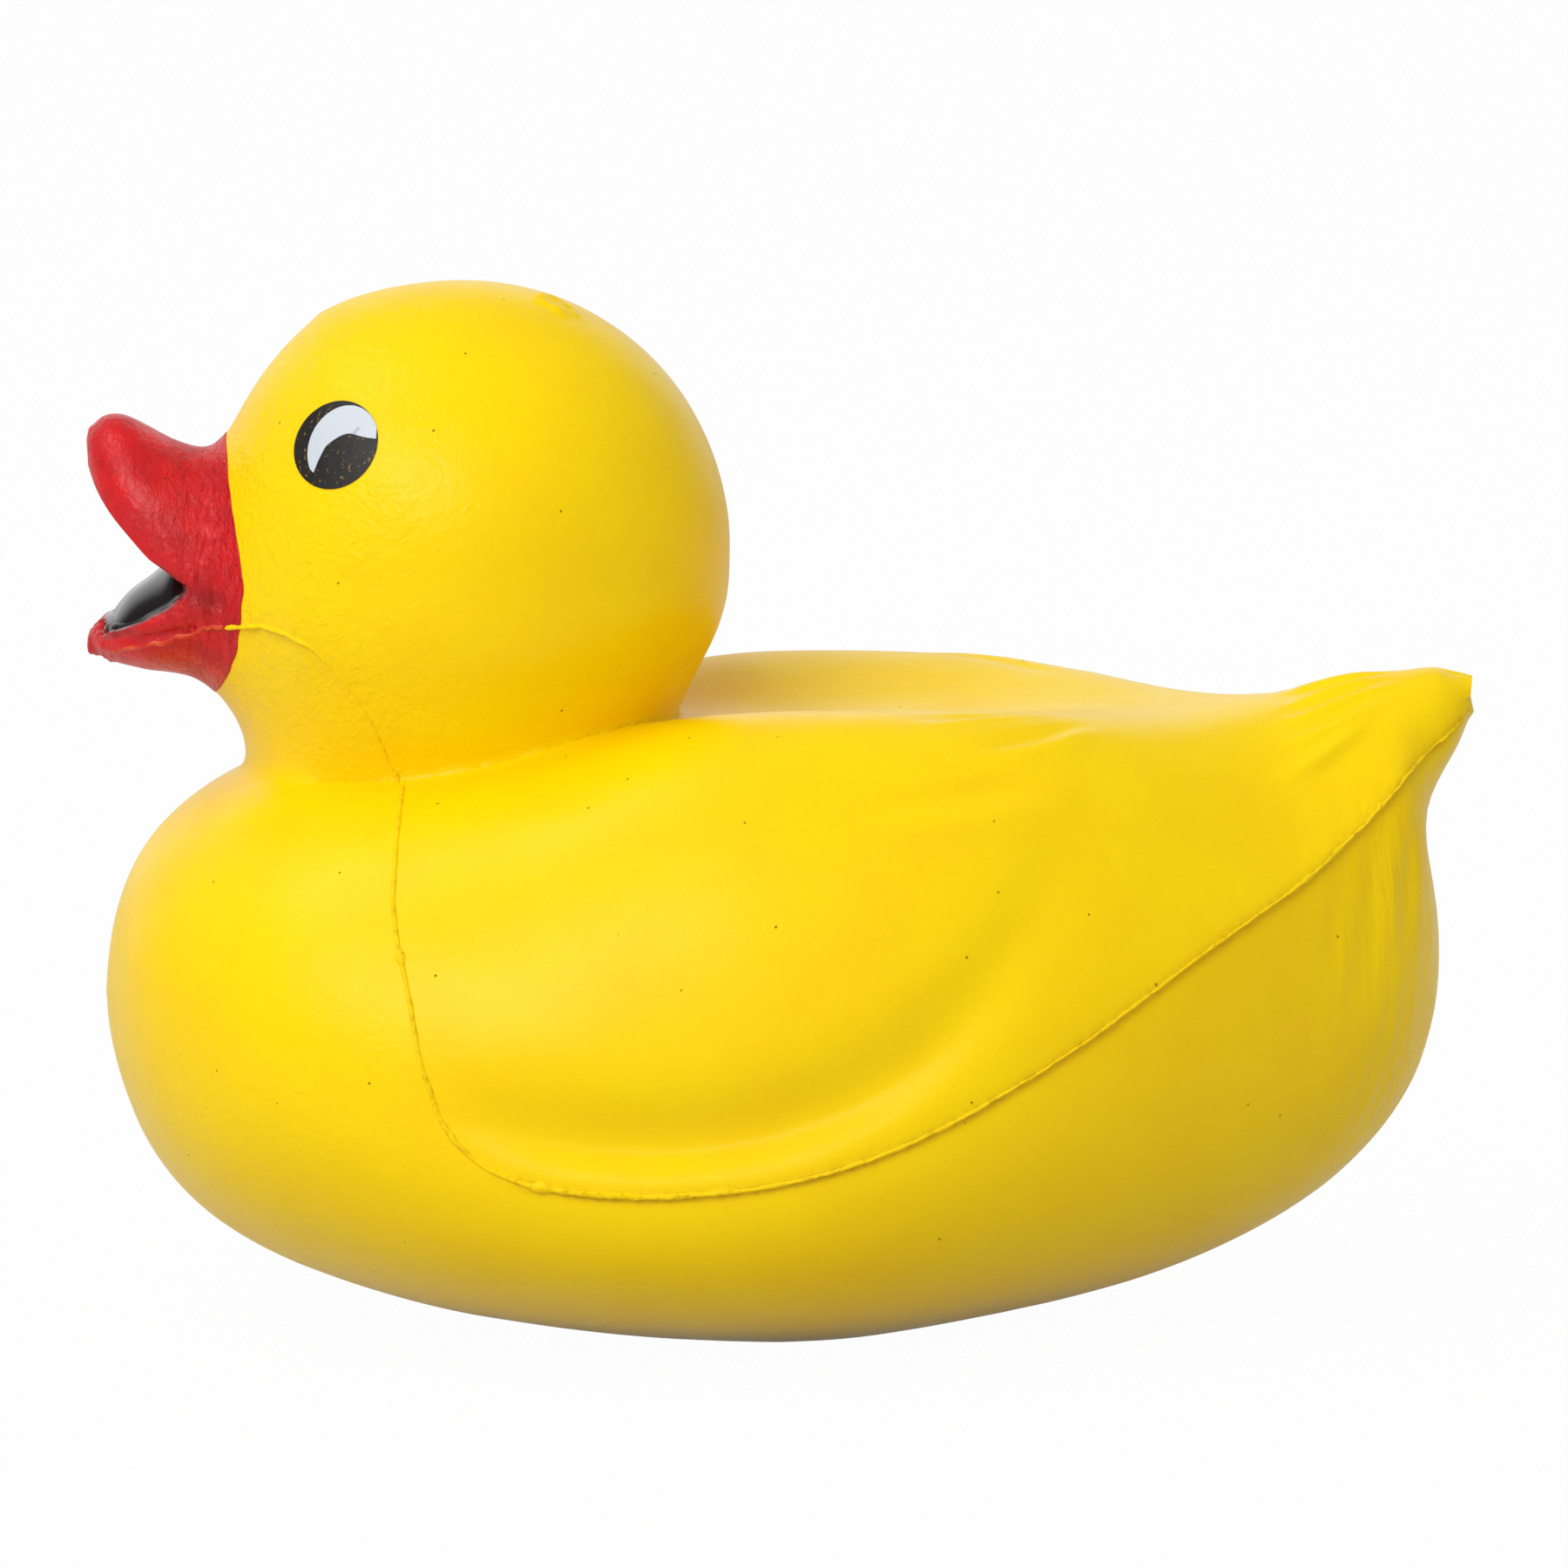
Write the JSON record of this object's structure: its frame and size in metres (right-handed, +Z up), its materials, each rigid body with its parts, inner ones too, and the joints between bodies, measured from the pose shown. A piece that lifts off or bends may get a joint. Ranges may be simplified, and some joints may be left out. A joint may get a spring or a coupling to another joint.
{
  "type": "duck stress ball",
  "caption": "Soft foam toy duck with a round head, open bill, folded wings, a dished back and an upturned tail, standing on a small flat sole.",
  "frame": {"origin": "centre of the footprint of the whole duck, on the surface that its sole rests on", "axes": "the duck faces -X, its left side is towards -Y, +Z is up"},
  "size_m": [0.0898, 0.0636, 0.0674],
  "materials": {
    "yellow_foam": "satin moulded foam skin, self-coloured yellow"
  },
  "bodies": {
    "root": {"duck": "yellow_foam"}
  },
  "joints": []
}
